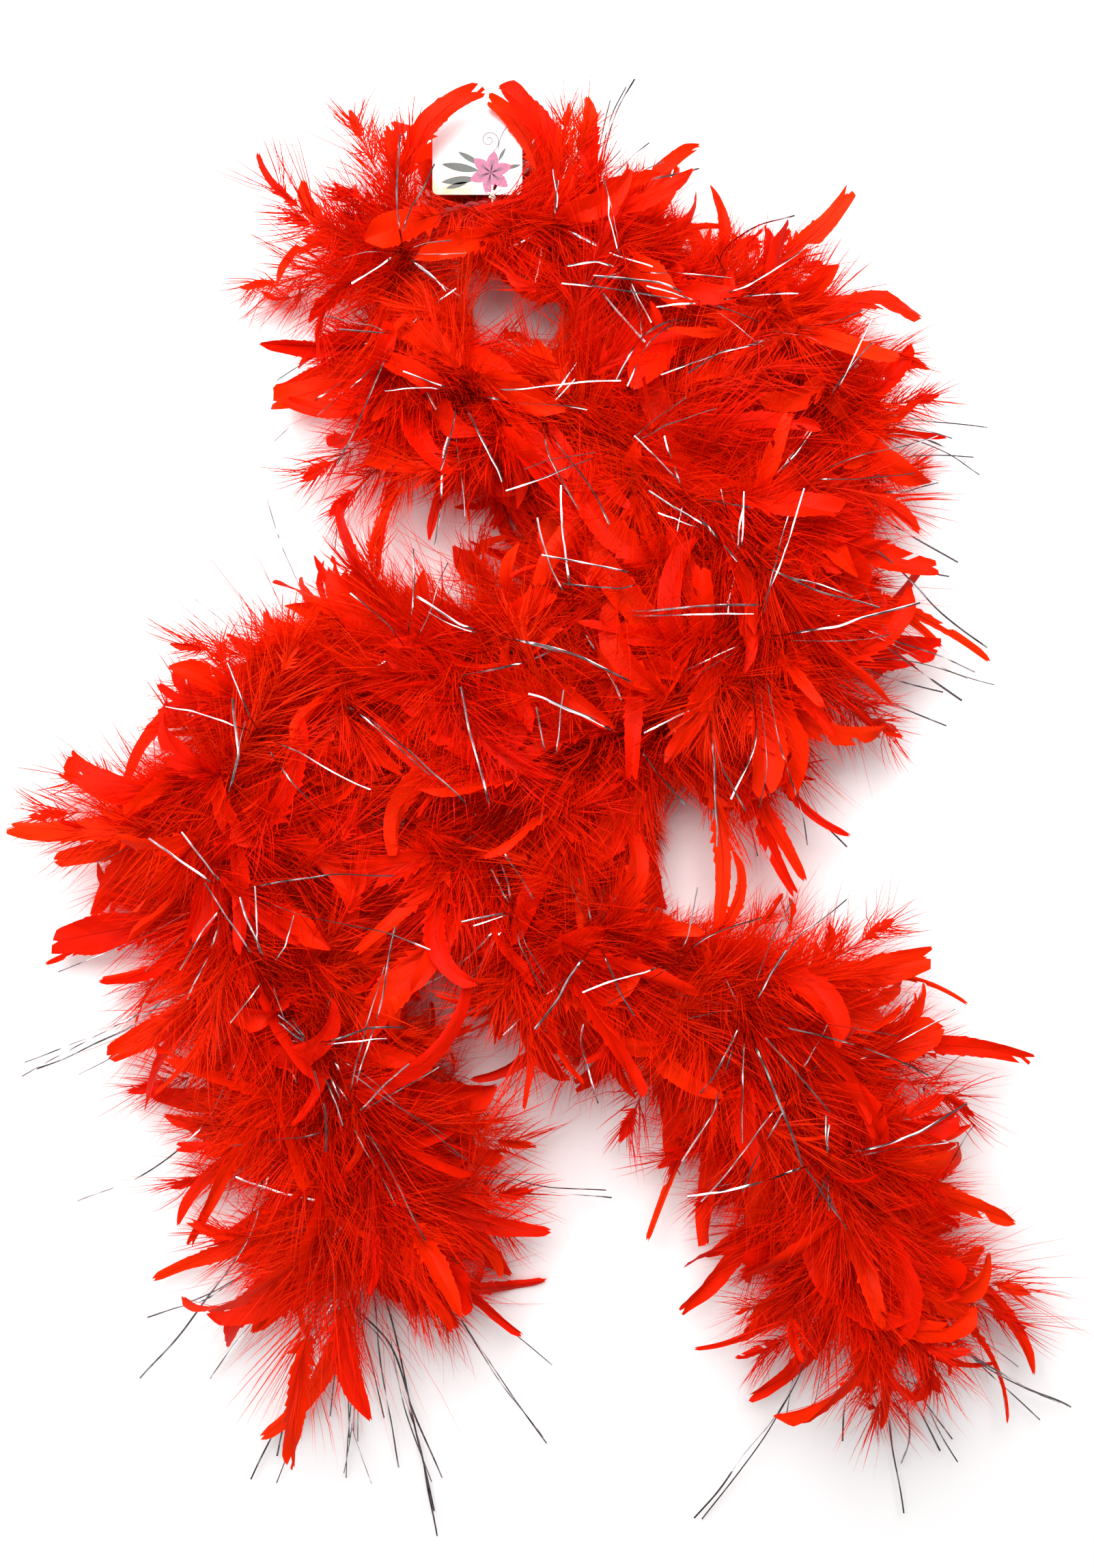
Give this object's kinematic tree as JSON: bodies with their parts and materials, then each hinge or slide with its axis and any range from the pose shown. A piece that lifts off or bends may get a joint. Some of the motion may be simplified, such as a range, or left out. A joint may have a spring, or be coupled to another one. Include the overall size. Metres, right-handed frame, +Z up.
{
  "type": "feather boa",
  "caption": "Red feather boa: a twisted core cord with whorls of feathers, silver lametta strips and a swing ticket, laid in a zigzag.",
  "frame": {"origin": "on the surface that the boa lies on, under the middle of its box", "axes": "+Z up; +Y from the two tails towards the bend with the swing ticket; +X to the right seen from above"},
  "size_m": [0.5559, 0.7749, 0.1129],
  "materials": {
    "feather": "satin",
    "core_cord": "matte",
    "whipping_thread": "satin",
    "lametta": "polished",
    "ticket_card": "satin",
    "ticket_string": "matte"
  },
  "bodies": {
    "boa": {"core_cord_middle": "core_cord", "feather_whorl_06": "feather", "feather_whorl_07": "feather", "feather_whorl_08": "feather", "feather_whorl_09": "feather", "feather_whorl_10": "feather", "feather_whorl_11": "feather", "feather_whorl_12": "feather", "feather_whorl_13": "feather", "feather_whorl_14": "feather", "feather_whorl_15": "feather", "feather_whorl_16": "feather", "feather_whorl_17": "feather", "feather_whorl_18": "feather", "feather_whorl_19": "feather", "feather_whorl_20": "feather", "feather_whorl_21": "feather", "feather_whorl_22": "feather", "feather_whorl_23": "feather", "feather_whorl_24": "feather", "feather_whorl_25": "feather", "feather_whorl_26": "feather", "feather_whorl_27": "feather", "feather_whorl_28": "feather", "feather_whorl_29": "feather", "feather_whorl_30": "feather", "feather_whorl_31": "feather", "feather_whorl_32": "feather", "feather_whorl_33": "feather", "feather_whorl_34": "feather", "feather_whorl_35": "feather", "lametta_left_bend": "lametta", "lametta_middle_band": "lametta", "lametta_right_bulge": "lametta", "lametta_right_shoulder": "lametta", "lametta_ticket_side": "lametta", "lametta_upper_band": "lametta", "ticket_string": "ticket_string"},
    "left_tail": {"core_cord_left_tail": "core_cord", "feather_whorl_01": "feather", "feather_whorl_02": "feather", "feather_whorl_03": "feather", "feather_whorl_04": "feather", "feather_whorl_05": "feather", "lametta_left_end_pair": "lametta", "lametta_left_end_wide": "lametta", "lametta_left_tail_long": "lametta", "lametta_left_tail_upper": "lametta", "left_end_whipping": "whipping_thread"},
    "right_tail": {"core_cord_right_tail": "core_cord", "feather_whorl_36": "feather", "feather_whorl_37": "feather", "feather_whorl_38": "feather", "feather_whorl_39": "feather", "lametta_right_end_pair": "lametta", "lametta_right_tail_long": "lametta", "right_end_whipping": "whipping_thread"},
    "ticket": {"swing_ticket": "ticket_card"}
  },
  "joints": [
    {"name": "left_tail_swing", "type": "hinge", "parent": "boa", "child": "left_tail", "pos_m": [-0.17167, -0.03351, 0.032], "axis": [0, 0, 1], "range_deg": [-25, 5]},
    {"name": "right_tail_swing", "type": "hinge", "parent": "boa", "child": "right_tail", "pos_m": [0.07579, -0.0855, 0.032], "axis": [0, 0, 1], "range_deg": [-5, 25]},
    {"name": "ticket_lift", "type": "hinge", "parent": "boa", "child": "ticket", "pos_m": [-0.031, 0.32691, 0.0343], "axis": [1, 0, 0], "range_deg": [0, 60]}
  ]
}
